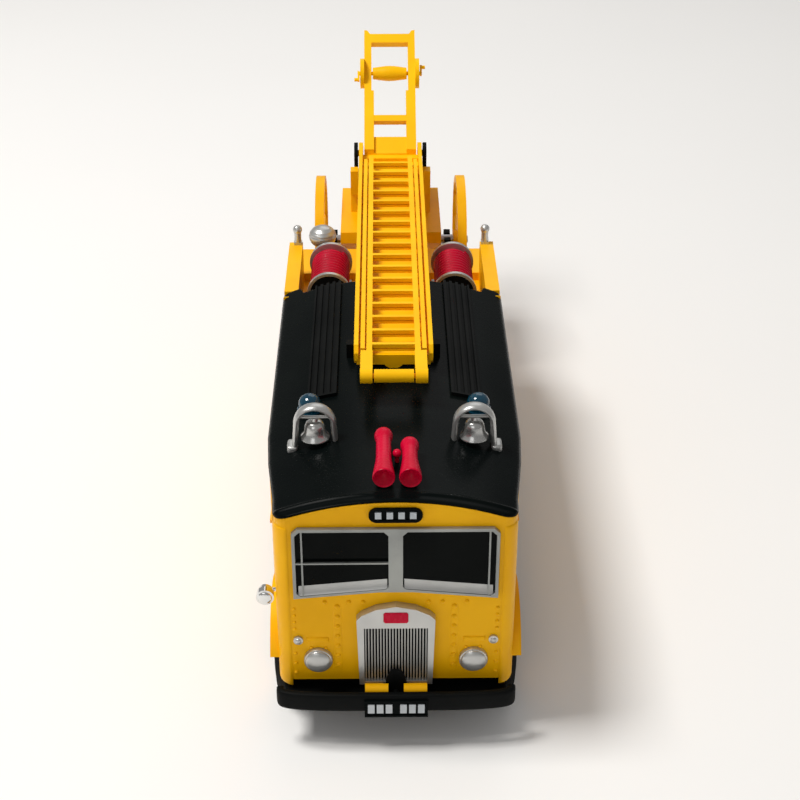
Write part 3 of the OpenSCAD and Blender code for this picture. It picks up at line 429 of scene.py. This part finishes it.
def bar(x0, x1, z0, z1, h, y=-83.13, n=12):
    """Raised strip: h * (1 - (2 v - 1)^4)(1 - (2 u - 1)^16) proud, closed by its flat back."""
    u, v = np.linspace(0, 1, 24), np.linspace(0, 1, n)
    U, V = np.meshgrid(u, np.concatenate([v, v[-2:0:-1]]), indexing="ij")
    front = np.arange(2 * n - 2)[None] < n
    rise = np.where(front, h * (1 - (2 * V - 1) ** 4) * (1 - (2 * U - 1) ** 16) + 0.01, -0.1)
    if abs(x1 - x0) > abs(z1 - z0):
        xx, zz = x0 + (x1 - x0) * U, z0 + (z1 - z0) * V
    else:
        xx, zz = x0 + (x1 - x0) * V, z0 + (z1 - z0) * U
    return (np.stack([xx, y - rise, zz], -1) * MM, True, True)

# %% Rivets and trims in their places
parts = []
for s in (-1, 1):
    parts += heads([(s * 10.4, 14.4 + 2.2 * k) for k in range(7)], 0.5, 0.42)
    parts += heads([(s * x, 28.6) for x in (5.8, 8.3, 12.6)], 0.42, 0.36)
    parts += heads([(s * 18.1, 22.6 + 1.5 * k) for k in range(4)], 0.36, 0.3)
    parts += heads([(s * 18.1, 12.6 + 2.2 * k) for k in range(3)], 0.36, 0.3)
    parts += heads([(s * 12.6, 18.2), (s * 15.2, 18.3)], 0.34, 0.26)
    parts.append(bar(s * 12.0, s * 16.1, 19.6, 20.7, 0.34))
    parts.append(bar(s * 9.6, s * 11.2, 12.6, 28.2, 0.12))
add_piece("front_rivets_and_trims", joined(parts), "yellow_paint", "vehicle", ("front_trims",))
print("rivets and trims:", len(parts))

# %% [markdown]
# ## Bumper, grille, sills with a painted glint, and corner mouldings
# The bumper is a bent bar with a rounded section. The grille is thin bright slats in front of a
# dark core, so the slats and the core are two pieces. Below the glass lies a bright silver strip
# that slopes inwards. It is partly the silver dash top and partly a painted glint along the
# glazing's bottom edge. A raised moulding runs up each front corner of the cab.

# %% Bumper
def bumper_bar(n=90, k=3.4):
    """Section ring carried round x = 20.9 |cos a|^(2/k), y = -85.9 - 2.33 |sin a|^(2/k)."""
    a = np.linspace(0.0, np.pi, n)
    path = np.stack([20.9 * np.sign(np.cos(a)) * np.abs(np.cos(a)) ** (2 / k),
                     -85.9 - 2.33 * np.abs(np.sin(a)) ** (2 / k)], -1)
    t = np.gradient(path, axis=0)
    t /= np.linalg.norm(t, axis=1, keepdims=True)
    out = np.stack([t[:, 1], -t[:, 0]], -1)
    out *= np.where((out * path).sum(1, keepdims=True) < 0, -1, 1)
    b = 2 * np.pi * np.arange(28) / 28
    du = 0.74 * np.sign(np.cos(b)) * np.abs(np.cos(b)) ** 0.5
    dz = 1.88 * np.sign(np.sin(b)) * np.abs(np.sin(b)) ** 0.36
    xy = path[:, None] + out[:, None] * du[None, :, None]
    z = np.broadcast_to(9.9 + dz[None], xy.shape[:2])
    return np.concatenate([xy, z[..., None]], -1) * MM

grid_mesh("bumper_bar", bumper_bar(), "black_satin", "vehicle", around=True, caps=True,
          stands_for=("front_bumper",))

# %% Tray under the nose
# A black tray closes the space between the bumper and the chassis, so no floor shows there.
def nose_tray(n=81, m=25):
    """x = 20.2 u, y from the bumper's curve back to -76, z = 8.55 + 0.35 v^2 + 0.25 |u|^6."""
    u, v = np.meshgrid(np.linspace(-1, 1, n), np.linspace(0, 1, m))
    front = -85.9 - 1.5 * (1 - np.abs(u) ** 4)
    y = front + (-76 - front) * v
    return np.stack([20.2 * u, y, 8.55 + 0.35 * v ** 2 + 0.25 * np.abs(u) ** 6], -1) * MM

tray = grid_mesh("nose_tray", nose_tray(), "black_satin", "vehicle")
sheet = tray.modifiers.new("sheet", "SOLIDIFY")
sheet.thickness = 0.4 * MM
print("tray under the nose made")

# %% Grille slats and core
def plate(x0, x1, y, z0, z1, n=8):
    """Flat sheet facing the front, between x0 and x1 and between z0 and z1."""
    x, z = np.meshgrid(np.linspace(x0, x1, n), np.linspace(z0, z1, n), indexing="ij")
    return (np.stack([x, np.full_like(x, y), z], -1) * MM, False, False)

def slat(x, w=0.13):
    """Thin upright blade with a rounded nose, from the core out to the front."""
    a = np.linspace(0, np.pi, 9)
    nose = np.stack([x - w * np.cos(a), -84.38 - 0.16 * np.sin(a)], -1)
    ring = np.vstack([[x - w, -83.9], nose, [x + w, -83.9]])
    zz = np.linspace(11.74, 23.86, 6)
    p = np.concatenate([np.broadcast_to(ring[None], (6, *ring.shape)),
                        np.broadcast_to(zz[:, None, None], (6, len(ring), 1))], -1)
    return (p * MM, True, True)

add_piece("grille_slats", joined([slat(x) for x in np.linspace(-5.4, 5.4, 21)]), "silver_paint",
          "vehicle", ("radiator_grille",), weld=False)
add_piece("grille_core", joined([plate(-5.68, 5.68, -83.91, 11.73, 23.87)]), "black_satin",
          "vehicle")

# %% Sills below the glass, with a painted glint
def sill_and_glint(s, n=14):
    """Silver strip that slopes in, partly the dash top and partly a painted glint of the glazing's
    edge: front edge on the frame's opening, back edge higher up.
    """
    u, v = np.meshgrid(np.linspace(0, 1, 24), np.linspace(0, 1, n), indexing="ij")
    x = s * (1.5 + u * 15.6)
    z = 31.95 - 1.5 * u + 1.75 * v ** 1.2
    y = -83.8 + 0.6 * v + 0.04 * np.sin(v * np.pi)
    return (np.stack([x, y, z], -1) * MM, False, False)

# the silver strips are partly the dash top and partly a painted glint along the glazing's bottom
# edge
add_piece("windscreen_sills_and_glint", joined([sill_and_glint(-1), sill_and_glint(1)]), "silver_paint", "vehicle", weld=False)

# %% Corner mouldings of the cab front
def moulding(s, lift=0.18):
    """Strip round a front corner: the body's plan line pushed out by a rounded lift."""
    a = np.linspace(0.16, np.pi / 2 * 0.98, 26)
    z = np.concatenate([[9.6, 9.75], np.linspace(10.2, 44.2, 30), [44.5, 44.6]])
    A, Z = np.meshgrid(a, z, indexing="ij")
    u = (A - a[0]) / (a[-1] - a[0])
    v = np.clip(np.minimum(Z - 9.6, 44.6 - Z) / 0.6, 0, 1)
    rise = 0.02 + lift * np.clip(np.minimum(u, 1 - u) * 9, 0, 1) ** 0.5 * v ** 0.5
    r = 2.85 + rise
    xyz = np.stack([s * (18.3 + r * np.sin(A)), -80.3 - r * np.cos(A), Z], -1)
    return (xyz * MM, False, False)

add_piece("corner_mouldings", joined([moulding(-1), moulding(1)]), "yellow_paint", "vehicle",
          weld=False)
print("front fittings made")

# %% [markdown]
# ## Floor, light and camera
# A pale matt floor and large soft lights from the front left show gloss enamel as broad
# highlights, with a soft shadow on the right. A small hard lamp would burn out the bright parts.

# %% Floor
def floor_disc(r=1.6, rings=8, seg=64):
    """Flat disc: point (i, j) lies at r (i / rings)^2 and angle 2 pi j / seg, fan at the middle."""
    i, j = np.meshgrid(np.arange(1, rings + 1), np.arange(seg), indexing="ij")
    rad = r * (i / rings) ** 2
    ang = 2 * np.pi * j / seg
    pts = np.stack([rad * np.cos(ang), rad * np.sin(ang), 0 * rad], -1).reshape(-1, 3)
    pts = np.vstack([pts, [[0, 0, 0]]])
    a = np.arange(rings - 1)[:, None] * seg + np.arange(seg)[None]
    b = np.arange(rings - 1)[:, None] * seg + (np.arange(seg)[None] + 1) % seg
    quads = np.stack([a, a + seg, b + seg, b], -1).reshape(-1, 4).tolist()
    hub = len(pts) - 1
    fan = [[hub, k, (k + 1) % seg] for k in range(seg)]
    me = bpy.data.meshes.new("floor")
    me.from_pydata(pts.tolist(), [], quads + fan)
    me.validate()
    o = bpy.data.objects.new("floor", me)
    bpy.context.scene.collection.objects.link(o)
    return o

floor = floor_disc()
floor.data.materials.append(finish("pale floor", (0.90, 0.89, 0.875), (0.92, 0.91, 0.895),
                                   rough=(0.7, 0.8), grain=60, bump=0.02, mottle=4))

# %% Lights
def area(name, loc, aim, size, watts, color=(1, 1, 1)):
    """A square soft light at loc that faces the point aim."""
    lamp = bpy.data.lights.new(name, "AREA")
    lamp.size = size
    lamp.energy = watts
    lamp.color = color
    o = bpy.data.objects.new(name, lamp)
    o.location = loc
    o.rotation_euler = (Vector(aim) - Vector(loc)).to_track_quat("-Z", "Y").to_euler()
    bpy.context.scene.collection.objects.link(o)

area("key", (-0.37, -0.03, 0.83), (0, 0.0, 0.02), 0.26, 6.4, (1, 0.985, 0.96))
area("front", (-0.25, -0.75, 0.45), (0, -0.03, 0.03), 0.40, 0.6)
area("rear", (0.1, 0.65, 0.6), (0, 0.03, 0.03), 0.5, 0.7)
world = bpy.data.worlds.new("studio")
world.use_nodes = True
sky = world.node_tree.nodes["Background"]
sky.inputs["Color"].default_value = (1, 0.99, 0.975, 1)
sky.inputs["Strength"].default_value = 0.31
bpy.context.scene.world = world
# plain display curve, so that deep black enamel and saturated yellow keep their depth
bpy.context.scene.view_settings.view_transform = "Standard"

# %% Camera
cam_data = bpy.data.cameras.new("camera")
cam_data.lens = 71.9
cam_data.sensor_width = 36
cam_data.clip_start = 0.01
cam = bpy.data.objects.new("camera", cam_data)
cam.location = (-0.0018, -0.307, 0.2047)
cam.rotation_euler = (math.radians(59), 0, math.radians(-0.65))
bpy.context.scene.collection.objects.link(cam)
bpy.context.scene.camera = cam
